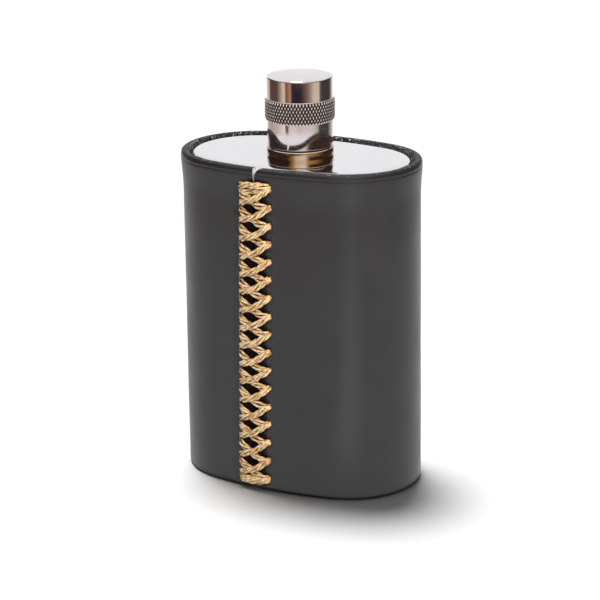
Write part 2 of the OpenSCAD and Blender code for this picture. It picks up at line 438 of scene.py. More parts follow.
def make_scratch_group():
    """Fine marks in a metal's polish, as a height: rings round the axis, and stray hairlines."""
    group, given, out = new_group(
        "polish_marks",
        [("Turning", "NodeSocketFloat", 0.5), ("Hairlines", "NodeSocketFloat", 0.5)],
        [("Height", "NodeSocketFloat")],
    )
    place = group.nodes.new("ShaderNodeTexCoord")
    rings = group.nodes.new("ShaderNodeMapping")
    rings.inputs["Scale"].default_value = (30, 30, 3000)
    turning = add_node(group, "ShaderNodeTexNoise", Scale=2.0, Detail=4.0, Roughness=0.7)
    hairs = group.nodes.new("ShaderNodeMapping")
    hairs.inputs["Rotation"].default_value = (0.4, 0.9, 0.6)
    hairs.inputs["Scale"].default_value = (60, 1800, 60)
    lines = add_node(group, "ShaderNodeTexNoise", Scale=1.5, Detail=2.0, Roughness=0.5)
    for mapping, texture in ((rings, turning), (hairs, lines)):
        group.links.new(place.outputs["Object"], mapping.inputs["Vector"])
        group.links.new(mapping.outputs["Vector"], texture.inputs["Vector"])
    first = add_node(group, "ShaderNodeMath", operation="MULTIPLY")
    group.links.new(turning.outputs["Fac"], first.inputs[0])
    group.links.new(given.outputs["Turning"], first.inputs[1])
    second = add_node(group, "ShaderNodeMath", operation="MULTIPLY_ADD")
    group.links.new(ramp(group, [(0.62, 0.0), (0.72, 1.0)], lines.outputs["Fac"]), second.inputs[0])
    group.links.new(given.outputs["Hairlines"], second.inputs[1])
    group.links.new(first.outputs[0], second.inputs[2])
    group.links.new(second.outputs[0], out.inputs["Height"])
    return group


UNEVEN = make_uneven_group()
WEAR = make_wear_group()
POLISH_MARKS = make_scratch_group()


def start_material(name, **shader_values):
    """A node material and its Principled shader, with uniform values set on the shader's own sockets."""
    material = bpy.data.materials.new(name)
    material.use_nodes = True
    shader = material.node_tree.nodes["Principled BSDF"]
    for key, value in shader_values.items():
        shader.inputs[key.replace("_", " ")].default_value = value
    return material, material.node_tree, shader


def add_bump(tree, shader, heights):
    """Chains bumps into the shader's normal. heights are (socket, depth in metres, strength)."""
    previous = None
    for height, distance, strength in heights:
        bump = add_node(tree, "ShaderNodeBump", Distance=distance, Strength=strength)
        tree.links.new(height, bump.inputs["Height"])
        if previous is not None:
            tree.links.new(previous, bump.inputs["Normal"])
        previous = bump.outputs["Normal"]
    tree.links.new(previous, shader.inputs["Normal"])


def finish_colour(tree, shader, colour, tint, roughness, spread_by, scale, worn=None, wear=0.0, shade_and_patina=0.0,
                  shade_and_patina_colour=(0.0, 0.0, 0.0)):
    """Feeds the shader an uneven colour and roughness, with worn edges and dark hollows where asked for; the
    dark hollows are painted shade, with patina in the knurl's grooves.
    """
    uneven = use_group(tree, UNEVEN, Colour=(*colour, 1), Tint=(*tint, 1), Roughness=roughness,
                       Spread=spread_by, Scale=scale)
    out = uneven.outputs["Colour"]
    if worn is not None:
        edge = use_group(tree, WEAR, Worn_Colour=(*worn, 1), Amount=wear, Patina=shade_and_patina,
                         Hollow_Colour=(*shade_and_patina_colour, 1))
        tree.links.new(out, edge.inputs["Colour"])
        out = edge.outputs["Colour"]
    tree.links.new(out, shader.inputs["Base Color"])
    if shade_and_patina:
        dulled = add_node(tree, "ShaderNodeMath", operation="MULTIPLY_ADD", use_clamp=True)
        dulled.inputs[1].default_value = 0.5
        tree.links.new(edge.outputs["Hollow"], dulled.inputs[0])
        tree.links.new(uneven.outputs["Roughness"], dulled.inputs[2])
        tree.links.new(dulled.outputs[0], shader.inputs["Roughness"])
    else:
        tree.links.new(uneven.outputs["Roughness"], shader.inputs["Roughness"])


def leather_grain_side():
    """Smooth waxed black leather, darkened as painted shade in the laced hollows, where its specular level is
    lowered too.
    """
    material, tree, shader = start_material("leather_grain_side", Specular_IOR_Level=0.5)
    # Painted shade: the near-black hollow colour darkens the leather between and round the slot rows.
    finish_colour(tree, shader, (0.0105, 0.0105, 0.0110), (0.017, 0.017, 0.0175), 0.34, 0.10, 60.0,
                  worn=(0.05, 0.05, 0.05), wear=0.5, shade_and_patina=0.95, shade_and_patina_colour=(0.0060, 0.0048, 0.0050))
    # Painted shade: the specular level drops in the same hollows.
    dull = add_node(tree, "ShaderNodeAttribute", attribute_name="hollow")
    shine = ramp(tree, [(0.0, 0.52), (1.0, 0.12)], dull.outputs["Fac"])
    tree.links.new(shine, shader.inputs["Specular IOR Level"])
    pores = ramp(tree, [(0.42, 0.0), (0.6, 1.0)], object_noise(tree, 2600.0, 3.0))
    add_bump(tree, shader, [
        (object_noise(tree, 220.0, 5.0, 0.6), 0.10 * MM, 0.2),
        (pores, 0.02 * MM, 0.25),
    ])
    return material


def fibrous(name, dark, mid, pale, scale, roughness, depth):
    """Bare leather: matted fibres in three tones."""
    material, tree, shader = start_material(name, Specular_IOR_Level=0.3)
    fibres = object_noise(tree, scale, 6.0, 0.75)
    colour = ramp(tree, [(0.42, dark), (0.56, mid), (0.64, pale)], fibres)
    tree.links.new(colour, shader.inputs["Base Color"])
    dulled = ramp(tree, [(0.3, roughness), (0.8, roughness - 0.25)], fibres)
    tree.links.new(dulled, shader.inputs["Roughness"])
    add_bump(tree, shader, [(fibres, depth, 0.8)])
    return material


def waxed_cord():
    """Golden waxed cord: fibres that wind round each ply, with painted shade: each ply is lighter on top and
    brown at its sides, where plies meet, and underneath, and each strand darkens towards its underside.
    """
    material, tree, shader = start_material("waxed_cord", Specular_IOR_Level=0.9, Sheen_Weight=0.1)
    place = tree.nodes.new("ShaderNodeTexCoord")
    wind = tree.nodes.new("ShaderNodeMapping")
    wind.inputs["Rotation"].default_value = (0, 0, 0.32)
    stretch = tree.nodes.new("ShaderNodeMapping")
    stretch.inputs["Scale"].default_value = (0.6, 6.0, 1.0)
    fibres = add_node(tree, "ShaderNodeTexNoise", Scale=2.4, Detail=5.0, Roughness=0.7)
    tree.links.new(place.outputs["UV"], wind.inputs["Vector"])
    tree.links.new(wind.outputs["Vector"], stretch.inputs["Vector"])
    tree.links.new(stretch.outputs["Vector"], fibres.inputs["Vector"])
    colour = ramp(tree, [(0.34, (0.46, 0.20, 0.05)), (0.43, (0.71, 0.42, 0.14)),
                         (0.52, (0.90, 0.66, 0.32)), (0.60, (1.0, 0.92, 0.70))], fibres.outputs["Fac"])
    parts = tree.nodes.new("ShaderNodeSeparateXYZ")
    tree.links.new(place.outputs["UV"], parts.inputs["Vector"])
    # Painted shade round each ply: light on top, brown at its sides where plies meet, and dark underneath.
    ply_painted_shade = ramp(tree, [(0.0, (0.12, 0.05, 0.02)), (0.06, (0.52, 0.33, 0.18)), (0.13, (1.0, 1.0, 1.0)),
                         (0.37, (1.0, 1.0, 1.0)), (0.44, (0.52, 0.33, 0.18)), (0.5, (0.12, 0.05, 0.02))],
                  parts.outputs["Y"])
    # Painted shade towards each strand's underside, from the attribute that add_strand writes.
    strand_painted_shade = add_node(tree, "ShaderNodeAttribute", attribute_name="hollow")
    depth = ramp(tree, [(0.0, (1.0, 1.0, 1.0)), (0.3, (0.95, 0.86, 0.72)), (0.6, (0.42, 0.22, 0.09)),
                        (1.0, (0.05, 0.016, 0.006))], strand_painted_shade.outputs["Fac"])
    patches = ramp(tree, [(0.40, (0.60, 0.38, 0.20)), (0.53, (1.0, 1.0, 1.0))],
                   object_noise(tree, 620.0, 3.0))
    for shade in (ply_painted_shade, depth, patches):
        blend = add_node(tree, "ShaderNodeMix", data_type="RGBA", blend_type="MULTIPLY")
        blend.inputs[0].default_value = 0.92
        tree.links.new(colour, blend.inputs[6])
        tree.links.new(shade, blend.inputs[7])
        colour = blend.outputs[2]
    tree.links.new(colour, shader.inputs["Base Color"])
    tree.links.new(ramp(tree, [(0.3, 0.6), (0.7, 0.34)], fibres.outputs["Fac"]), shader.inputs["Roughness"])
    add_bump(tree, shader, [(fibres.outputs["Fac"], 0.16 * MM, 0.9)])
    return material


def metal(name, colour, tint, roughness, uneven, turning, hairlines, depth, worn, wear=0.3, shade_and_patina=0.0,
          shade_and_patina_colour=(0.0, 0.0, 0.0)):
    """A metal with an uneven tone, fine polishing marks, brighter worn edges and darker hollows; the darker
    hollows are patina deepened as painted shade.
    """
    material, tree, shader = start_material(name, Metallic=1.0)
    finish_colour(tree, shader, colour, tint, roughness, uneven, 200.0, worn, wear, shade_and_patina, shade_and_patina_colour)
    marks = use_group(tree, POLISH_MARKS, Turning=turning, Hairlines=hairlines)
    add_bump(tree, shader, [(marks.outputs["Height"], depth, 0.5)])
    return material


def soft_rubber():
    """Pale silicone with a fine moulded texture."""
    material, tree, shader = start_material("seal_silicone", Specular_IOR_Level=0.4)
    finish_colour(tree, shader, (0.66, 0.64, 0.58), (0.58, 0.56, 0.50), 0.55, 0.12, 300.0)
    add_bump(tree, shader, [(object_noise(tree, 1800.0, 3.0), 0.03 * MM, 0.4)])
    return material


def moulded_plastic():
    """Black satin plastic with a spark-eroded grain."""
    material, tree, shader = start_material("liner_plastic", Specular_IOR_Level=0.5)
    finish_colour(tree, shader, (0.022, 0.022, 0.023), (0.034, 0.034, 0.034), 0.42, 0.12, 240.0,
                  worn=(0.08, 0.08, 0.08), wear=0.4)
    add_bump(tree, shader, [(object_noise(tree, 2400.0, 3.0), 0.03 * MM, 0.4)])
    return material


# Dark brown for the knurl's grooves: patina, deepened to stand in for the shade that falls in them.
GROOVE_PATINA_AND_SHADE = (0.075, 0.040, 0.042)

GRAIN = leather_grain_side()
FLESH = fibrous("leather_flesh_side", dark=(0.006, 0.006, 0.007), mid=(0.016, 0.016, 0.017),
                pale=(0.50, 0.49, 0.48), scale=1500.0, roughness=0.9, depth=0.25 * MM)
BURNISHED = fibrous("leather_burnished_edge", dark=(0.005, 0.005, 0.006), mid=(0.010, 0.010, 0.011),
                    pale=(0.10, 0.098, 0.096), scale=1300.0, roughness=0.75, depth=0.12 * MM)
# Pale core of the cut leather, lifted towards white so that it stands in for glints on the slots' outer edges
# and in the seam's notch.
CORE = fibrous("leather_core", dark=(0.42, 0.42, 0.43), mid=(0.70, 0.70, 0.72), pale=(0.95, 0.95, 0.97),
               scale=1500.0, roughness=0.6, depth=0.12 * MM)
CORD = waxed_cord()
MIRROR = metal("polished_plate", colour=(0.76, 0.75, 0.78), tint=(0.73, 0.72, 0.74), roughness=0.035,
               uneven=0.03, turning=0.0, hairlines=0.25, depth=0.002 * MM, worn=(0.86, 0.86, 0.86), wear=0.2)
CAP_METAL = metal("cap_bronze", colour=(0.71, 0.67, 0.68), tint=(0.66, 0.61, 0.61), roughness=0.075,
                  uneven=0.02, turning=0.25, hairlines=0.15, depth=0.0012 * MM, worn=(0.90, 0.86, 0.84),
                  wear=0.5)
KNURL_METAL = metal("knurled_bronze", colour=(1.0, 0.95, 0.95), tint=(0.94, 0.87, 0.86), roughness=0.36,
                    uneven=0.05, turning=0.0, hairlines=0.0, depth=0.004 * MM, worn=(1.0, 0.97, 0.96),
                    wear=0.8, shade_and_patina=1.0, shade_and_patina_colour=GROOVE_PATINA_AND_SHADE)
COLLAR_METAL = metal("collar_bronze", colour=(0.68, 0.59, 0.49), tint=(0.52, 0.43, 0.33), roughness=0.09,
                     uneven=0.03, turning=0.35, hairlines=0.2, depth=0.0015 * MM, worn=(0.86, 0.78, 0.68),
                     wear=0.5, shade_and_patina=0.5, shade_and_patina_colour=GROOVE_PATINA_AND_SHADE)
BRUSHED = metal("brushed_steel", colour=(0.60, 0.59, 0.58), tint=(0.50, 0.49, 0.48), roughness=0.32,
                uneven=0.12, turning=1.0, hairlines=0.5, depth=0.03 * MM, worn=(0.8, 0.8, 0.8), wear=0.4)
SILICONE = soft_rubber()
PLASTIC = moulded_plastic()

# ---------------------------------------------------------------- leather sleeve

SEAM_EDGE = 0.06 * MM
SLOT_W = 1.1 * MM
SLOT_LOW = 1.3 * MM
SLOT_HIGH = 1.8 * MM
SLOT_ROUND = 0.28 * MM
SLOT_FLARE = 0.45 * MM
SLOT_CHAMFER = 0.16
RIM_H = 2.3 * MM
FOOT_H = 0.7 * MM
FAR_COLUMN = 2.6 * MM
GRAIN_ACROSS = 0.16
FRAYED_ACROSS = 0.6
FOOT_SPREAD = 0.15 * MM
TOP_TAPER = -0.29 * MM
RIM_FLARE = 0.63 * MM
RIM_FLARE_H = 13 * MM
SLOT_DIP = 0.35 * MM
SLOT_DIP_W = 1.2 * MM
SEAM_DIP = 0.85 * MM
SEAM_DIP_W = 1.7 * MM
NOTCH_DEPTH = 5.0 * MM
NOTCH_LEFT = 0.36 * MM
NOTCH_RIGHT = 2.4 * MM
CORNER_DEPTH = 2.4 * MM
FOOT_NOTCH = 0.7 * MM
FOOT_NOTCH_H = 2.2 * MM
RIM = [(0.02, 2.05), (0.045, 1.85), (0.02, 1.6), (0.03, 1.2), (0.07, 0.75), (0.15, 0.34), (0.28, 0.10),
       (0.45, 0.0), (0.66, 0.0), (0.84, 0.10), (0.95, 0.36), (0.99, 0.85), (1.0, 1.6)]
FOOT = [(0.99, 0.4), (0.94, 0.1), (0.8, 0.0), (0.5, 0.0), (0.22, 0.0), (0.1, 0.06), (0.03, 0.24)]


def wrapped(u):
    """Distance past the seam, negative on the -X side."""
    return u - oval.length if u > oval.length / 2 else u


def sleeve_columns():
    """Distances past the seam, from one butt edge round to the other, and the columns that the slots take."""
    row = ROW_GAP / 2
    near = [SEAM_EDGE, 0.35 * MM, 0.8 * MM, 1.4 * MM, 2.1 * MM, 2.9 * MM, 3.7 * MM, row - SLOT_W / 2, row,
            row + SLOT_W / 2, row + 1.3 * MM, row + 2.1 * MM, row + 3.2 * MM, row + 4.8 * MM, row + 6.8 * MM]
    far_end = oval.length - near[-1]
    count = round((far_end - near[-1]) / FAR_COLUMN)
    columns = near + spread(near[-1], far_end, count + 1)[1:-1] + [oval.length - u for u in reversed(near)]
    slot_columns = [i for i in range(len(columns) - 1)
                    if abs(abs(wrapped((columns[i] + columns[i + 1]) / 2)) - row) < SLOT_W / 2]
    return columns, slot_columns


def sleeve_rows():
    """Heights of the wall's rows between the foot and the rim, and the rows that the slots take."""
    rows = [SLEEVE_FOOT + FOOT_H, slot_z(-1, 0) - SLOT_LOW]
    slot_rows = []
    for i in range(SLOT_PAIRS):
        low, high = slot_z(-1, i) - SLOT_LOW, slot_z(-1, i) + SLOT_HIGH
        slot_rows += [len(rows) - 1, len(rows)]
        rows += [(low + high) / 2, high]
        if i < SLOT_PAIRS - 1:
            following = slot_z(-1, i + 1) - SLOT_LOW
            rows += [mix(high, following, 0.33), mix(high, following, 0.67), following]
    wall_top = SLEEVE_TOP - RIM_H
    rows += [mix(rows[-1], wall_top, 0.5), wall_top]
    return rows, slot_rows


def leather_shift(u, z):
    """How far the leather's outside stands from the plain oval at distance u past the seam and height z."""
    height = (z - SLEEVE_FOOT) / (SLEEVE_TOP - SLEEVE_FOOT)
    shift = mix(FOOT_SPREAD, TOP_TAPER, height)
    shift += RIM_FLARE * smooth(z, SLEEVE_TOP - RIM_FLARE_H, SLEEVE_TOP - 0.5 * MM) ** 1.5
    shift += 0.10 * MM * noise.noise(Vector((u * 45, z * 38, 3.1)))
    shift += 0.04 * MM * noise.noise(Vector((u * 160, z * 140, 8.7)))
    side = 1 if u > 0 else -1
    laced = smooth(z, SLEEVE_FOOT, FIRST_SLOT_Z) * smooth(SLEEVE_TOP - 3 * MM - z, 0, 3 * MM)
    phase = (z - row_bow(z) - FIRST_SLOT_Z - (ROW_RISE if side > 0 else 0)) / SLOT_PITCH
    near_slot = hump(phase - round(phase), 0.32)
    from_row = abs(abs(u) - ROW_GAP / 2)
    shift -= SLOT_DIP * near_slot * hump(from_row, SLOT_DIP_W) * laced
    shift += 0.12 * MM * hump(abs(u) - ROW_GAP / 2 - 2.2 * MM, 1.5 * MM) * laced
    shift -= SEAM_DIP * hump(u, SEAM_DIP_W) * laced
    return shift


def notch_shift(u, z):
    """Sideways move of the two flaps' corners, where the seam opens at the rim and at the foot."""
    side = 1 if u > 0 else -1
    depth = SLEEVE_TOP - z
    opening = NOTCH_LEFT * clamp(1 - depth / NOTCH_DEPTH) ** 0.7
    if side > 0:
        corner = clamp(1 - depth / CORNER_DEPTH)
        opening += (NOTCH_RIGHT - NOTCH_LEFT) * (1 - math.sqrt(1 - corner ** 2))
    foot = clamp(1 - (z - SLEEVE_FOOT) / FOOT_NOTCH_H)
    opening += FOOT_NOTCH * foot ** 1.6
    return side * opening * (1 - smooth(abs(u), 0, 7 * MM))


def laced_painted_shade(u, z):
    """Share of painted shade on the leather: full between the two rows of slots and just round them."""
    row = ROW_GAP / 2
    laced = smooth(z, 1.0 * MM, 2.5 * MM) * smooth(SLEEVE_TOP - 5.2 * MM - z, 0, 1.2 * MM)
    phase = (z - row_bow(z) - FIRST_SLOT_Z - (ROW_RISE if u > 0 else 0)) / SLOT_PITCH
    near_slot = hump(phase - round(phase), 0.34)
    inner = mix(row - 2.2 * MM, row - 0.3 * MM, near_slot)
    return laced * (1 - smooth(abs(u), inner, inner + 1.1 * MM))


class SleeveStrip:
    """Builds the sleeve: one strip of thick leather whose cross-section runs up outside and down inside."""

    OUTER, FLESH, EDGE, CORE = range(4)

    def __init__(self):
        self.columns, self.slot_columns = sleeve_columns()
        self.rows, self.slot_rows = sleeve_rows()
        self.verts, self.faces, self.slots, self.hollow = [], [], [], []
        self.chamfers = {}
        self.loop = [(0.0, z, i) for i, z in enumerate(self.rows)]
        self.loop += [(across, SLEEVE_TOP - down * MM, None) for across, down in RIM]
        self.inside_start = len(self.loop)
        self.loop += [(1.0, z, i) for i, z in reversed(list(enumerate(self.rows)))]
        self.loop += [(across, SLEEVE_FOOT + up * MM, None) for across, up in FOOT]
        self.n = len(self.loop)

    def round_corner(self, c, row):
        """How far to move a point at a slot's corner, round the sleeve and up, to round the slot."""
        ends = ((0, 1, 1), (2, -1, 1), (0, 1, -1), (2, -1, -1))
        for step, sideways, upwards in ends:
            at_column = any(c == first + step for first in self.slot_columns[::2])
            at_row = any(row == first + (0 if upwards > 0 else 2) for first in self.slot_rows[::2])
            if at_column and at_row:
                return sideways * SLOT_ROUND, upwards * SLOT_ROUND
        return 0.0, 0.0

    def slot_flare(self, c, row, across):
        """How far a slot's outer wall slopes: wider on the outside of the leather than on the inside."""
        outer_edge = {self.slot_columns[0]: 1, self.slot_columns[-1] + 1: -1}
        in_slot = row is not None and (row in self.slot_rows or row - 1 in self.slot_rows)
        if c not in outer_edge or not in_slot:
            return 0.0
        return outer_edge[c] * mix(SLOT_FLARE, -SLOT_FLARE, across)

    def place_columns(self):
        """Adds one cross-section per column."""
        last = len(self.rows) - 1
        for c, column in enumerate(self.columns):
            past = wrapped(column)
            rise = ROW_RISE * smooth(past, 0, 1 * MM) * (1 - smooth(past, 10 * MM, 24 * MM))
            for across, z, row in self.loop:
                sideways, upwards = self.round_corner(c, row)
                u = past + sideways + self.slot_flare(c, row, across)
                height = z + upwards
                if row is not None:
                    height += rise * smooth(row, 0, 2) * (1 - smooth(row, last - 2, last))
                grow = leather_shift(u, height) - across * LEATHER_T
                if across == 1.0:
                    grow = -LEATHER_T + leather_shift(10 * MM, height)
                (x, y), _ = oval.at(seam_line(z) + u + notch_shift(u, height), grow)
                self.verts.append((x, y, height))
                # Painted shade on the outside of the leather, between and round the slot rows.
                self.hollow.append(laced_painted_shade(u, height) if across < 0.5 else 0.0)

    def row_of(self, k):
        """The row of wall cells that loop cell k belongs to, on either side of the leather."""
        if k < len(self.rows) - 1:
            return k
        if self.inside_start <= k < self.inside_start + len(self.rows) - 1:
            return len(self.rows) - 2 - (k - self.inside_start)
        return None

    def is_hole(self, c, row):
        """Whether a slot takes this cell of the wall."""
        return c in self.slot_columns and row in self.slot_rows

    def face_kind(self, k):
        """Material of loop cell k: grain outside, flesh inside and over the inner edge, burnished between."""
        row = self.row_of(k)
        if row is not None:
            return self.OUTER if k < self.inside_start else self.FLESH
        across = (self.loop[k][0] + self.loop[(k + 1) % self.n][0]) / 2
        if across > FRAYED_ACROSS:
            return self.FLESH
        return self.OUTER if across < GRAIN_ACROSS else self.EDGE

    def add(self, face, kind):
        """Keeps one face with its material."""
        self.faces.append(face)
        self.slots.append(kind)

    def skin(self):
        """Outer and inner faces, rim and foot, with the slots left out."""
        n = self.n
        for c in range(len(self.columns) - 1):
            for k in range(n):
                if self.is_hole(c, self.row_of(k)):
                    continue
                m = (k + 1) % n
                self.add((c * n + k, (c + 1) * n + k, (c + 1) * n + m, c * n + m), self.face_kind(k))

    def through(self, c, row):
        """The outer and the inner point of one corner of the wall's cells."""
        return c * self.n + row, c * self.n + self.inside_start + len(self.rows) - 1 - row

    def chamfer_foot(self, c, row):
        """Point inside a slot where the chamfer of its outer edge ends, made once for each corner."""
        if (c, row) not in self.chamfers:
            outside, inside = (Vector(self.verts[i]) for i in self.through(c, row))
            foot = outside.lerp(inside, SLOT_CHAMFER)
            foot.x = mix(foot.x, inside.x, 0.75)
            self.chamfers[c, row] = len(self.verts)
            self.verts.append(tuple(foot))
            self.hollow.append(0.0)
        return self.chamfers[c, row]

    def slot_walls(self):
        """Walls of the slots through the leather."""
        for c in self.slot_columns:
            for row in self.slot_rows:
                sides = (
                    (c - 1, row, (c, row), (c, row + 1)),
                    (c + 1, row, (c + 1, row + 1), (c + 1, row)),
                    (c, row - 1, (c + 1, row), (c, row)),
                    (c, row + 1, (c, row + 1), (c + 1, row + 1)),
                )
                for near_c, near_row, a, b in sides:
                    if self.is_hole(near_c, near_row):
                        continue
                    a_out, a_in = self.through(*a)
                    b_out, b_in = self.through(*b)
                    a_mid, b_mid = self.chamfer_foot(*a), self.chamfer_foot(*b)
                    self.add((a_out, b_out, b_mid, a_mid), self.CORE)
                    self.add((a_mid, b_mid, b_in, a_in), self.CORE)

    def fan_strip(self, arc):
        """Faces that fill an arc of the cross-section, pairing its two ends inwards."""
        faces = []
        low, high = 0, len(arc) - 1
        while high - low > 2:
            faces.append((arc[low], arc[low + 1], arc[high - 1], arc[high]))
            low, high = low + 1, high - 1
        if high - low == 2:
            faces.append((arc[low], arc[low + 1], arc[high]))
        return faces

    def butt_edge(self, c, flip):
        """Cut end of the strip at column c."""
        ring = [c * self.n + k for k in range(self.n)]
        outside = len(self.rows)
        faces = []
        for row in range(outside - 1):
            a_out, a_in = self.through(c, row)
            b_out, b_in = self.through(c, row + 1)
            faces.append((a_out, b_out, b_in, a_in))
        faces += self.fan_strip(ring[outside - 1:self.inside_start + 1])
        faces += self.fan_strip(ring[self.inside_start + outside - 1:] + [ring[0]])
        for face in faces:
            self.add(face if flip else face[::-1], self.CORE)

    def build(self):
        """The finished piece."""
        self.place_columns()
        self.skin()
        self.slot_walls()
        self.butt_edge(0, False)
        self.butt_edge(len(self.columns) - 1, True)
        return make_piece("leather_wrap", self.verts, self.faces, [GRAIN, FLESH, BURNISHED, CORE], self.slots,
                          hollow=self.hollow)


def make_sleeve():
    """The laced leather sleeve."""
    piece = SleeveStrip().build()
    surface = piece.modifiers.new("rounded", "SUBSURF")
    surface.levels = 1
    surface.render_levels = 1
    dress(piece, "flask", "leather_sleeve")


make_sleeve()

# ---------------------------------------------------------------- lacing cord

PLIES = 4
PLY_R = 0.39 * MM
PLY_SIDES = 12
BUNDLE_W = 0.64 * MM
BUNDLE_T = 0.34 * MM
PINCH = 0.92
UNDER_H = 0.62 * MM
UNDER_WIDTH = 1.25
OVER_H = 0.75 * MM
CROSSING_H = 1.55 * MM
DIVE = -1.9 * MM
LEFT_END = -4.45 * MM
RIGHT_END = 4.75 * MM
TUCKED_END = 4.5 * MM
STATIONS = 34
UNDER_SAG = 0.85 * MM
OVER_SAG = 0.8 * MM
SLOT_PLAY = 0.3 * MM


def strand_path(start, end, rest_h, mid_h, sag=0.0):
    """Curve from one slot over the leather to another. start and end are (distance past the seam, height)."""
    start, end = Vector(start), Vector(end)
    run = end - start
    along = run.normalized()
    length = run.length
    marks = [(0.0, DIVE), (0.0, DIVE * 0.4), (0.2 * MM, rest_h * 0.4), (1.0 * MM, rest_h),
             (length * 0.30, mix(rest_h, mid_h, 0.6)), (length * 0.5, mid_h),
             (length * 0.70, mix(rest_h, mid_h, 0.6)), (length - 1.0 * MM, rest_h),
             (length - 0.2 * MM, rest_h * 0.4), (length, DIVE * 0.4), (length, DIVE)]
    flat = []
    for distance, lift in marks:
        u, z = start + along * distance
        flat.append(Vector((u, z - sag * math.sin(math.pi * (distance / length) ** 1.3), lift)))
    fine = spline(flat, 6)
    lengths = [0.0]
    for a, b in zip(fine, fine[1:]):
        lengths.append(lengths[-1] + (b - a).length)
    points = []
    for k in range(STATIONS):
        target = lengths[-1] * k / (STATIONS - 1)
        i = min(max(bisect.bisect_left(lengths, target), 1), len(fine) - 1)
        t = (target - lengths[i - 1]) / (lengths[i] - lengths[i - 1])
        u, z, h = fine[i - 1].lerp(fine[i], t)
        points.append(seam_place(u, z, h + leather_shift(0.6 * u, z) * 0.5 + leather_shift(12 * MM, z) * 0.5))
    return points


def frames_along(points):
    """Tangent, width and thickness directions at each point of a strand, the width lying on the leather."""
    frames = []
    for i in range(len(points)):
        tangent = (points[min(i + 1, len(points) - 1)] - points[max(i - 1, 0)]).normalized()
        across = tangent.cross(Vector((0, -1, 0)))
        if frames and across.length < 0.35:
            across = frames[-1][0]
        across = (across - tangent * across.dot(tangent)).normalized()
        if frames and across.dot(frames[-1][0]) < 0:
            across = -across
        frames.append((across, across.cross(tangent).normalized()))
    if frames[len(frames) // 2][1].y > 0:
        frames = [(-across, -up) for across, up in frames]
    return frames


def add_strand(build, points, twist, seed, width=1.0):
    """Adds the plies of one flattened strand to the mesh that build gathers."""
    verts, faces, uvs, strand_painted_shade = build
    frames = frames_along(points)
    n = len(points)
    for ply in range(PLIES):
        base = len(verts)
        for i, (point, (across, up)) in enumerate(zip(points, frames)):
            t = i / (n - 1)
            pinch = mix(PINCH, 1.0, smooth(t, 0.05, 0.35) * smooth(1 - t, 0.05, 0.35))
            turn = FULL_TURN * (ply / PLIES + twist * t)
            turn += 0.7 * noise.noise(Vector((seed * 3.7, t * 3, ply * 1.9)))
            wobble = 1 + 0.22 * noise.noise(Vector((seed * 1.3, t * 6, ply * 5.1)))
            centre = point + across * (BUNDLE_W * width * pinch * wobble * math.cos(turn))
            centre += up * (BUNDLE_T / pinch * math.sin(turn))
            radius = PLY_R * (1 + 0.16 * noise.noise(Vector((seed, t * 9, ply * 7.7))))
            for k in range(PLY_SIDES):
                angle = FULL_TURN * k / PLY_SIDES
                point_on_ply = centre + across * (radius * math.cos(angle))
                point_on_ply += up * (radius * 0.85 * math.sin(angle))
                verts.append(point_on_ply)
                uvs.append((i * 0.35 + seed * 2.3 + ply * 5.0, k / PLY_SIDES))
                # Painted shade: points lower in the strand get a larger share.
                height = (point_on_ply - point).dot(up) / (BUNDLE_T + PLY_R)
                strand_painted_shade.append(1 - smooth(height, -0.7, 0.55))
        for i in range(n - 1):
            for k in range(PLY_SIDES):
                m = (k + 1) % PLY_SIDES
                a, b = base + i * PLY_SIDES, base + (i + 1) * PLY_SIDES
                faces.append((a + k, a + m, b + m, b + k))
        faces.append(tuple(base + k for k in reversed(range(PLY_SIDES))))
        faces.append(tuple(base + (n - 1) * PLY_SIDES + k for k in range(PLY_SIDES)))


def finish_cord(name, build):
    """The gathered plies as one piece of the lacing."""
    verts, faces, uvs, strand_painted_shade = build
    piece = make_piece(name, verts, faces, [CORD], loop_uv=uvs, hollow=strand_painted_shade)
    dress(piece, "flask", "lacing_cord")


def jitter(seed, size):
    """A small repeatable shift."""
    return size * noise.noise(Vector((seed * 2.17, 11.3, seed * 0.7)))


def make_stitches():
    """Crossed stitches: each rising strand lies over each falling one."""
    under, over = ([], [], [], []), ([], [], [], [])
    for i in range(SLOT_PAIRS - 1):
        start = (LEFT_END, slot_z(-1, i + 1) - 0.55 * MM + jitter(i, SLOT_PLAY))
        end = (TUCKED_END, slot_z(1, i) - 0.1 * MM + jitter(i + 40, SLOT_PLAY))
        path = strand_path(start, end, UNDER_H, UNDER_H, UNDER_SAG)
        add_strand(under, path, 1.1 + jitter(i + 5, 0.5), i, UNDER_WIDTH)
        start = (LEFT_END, slot_z(-1, i) + 1.6 * MM + jitter(i + 80, SLOT_PLAY))
        end = (RIGHT_END, slot_z(1, i + 1) + 0.1 * MM + jitter(i + 120, SLOT_PLAY))
        path = strand_path(start, end, OVER_H, CROSSING_H, OVER_SAG)
        add_strand(over, path, 1.2 + jitter(i + 9, 0.5), i + 50)
    finish_cord("stitches_under", under)
    finish_cord("stitches_over", over)


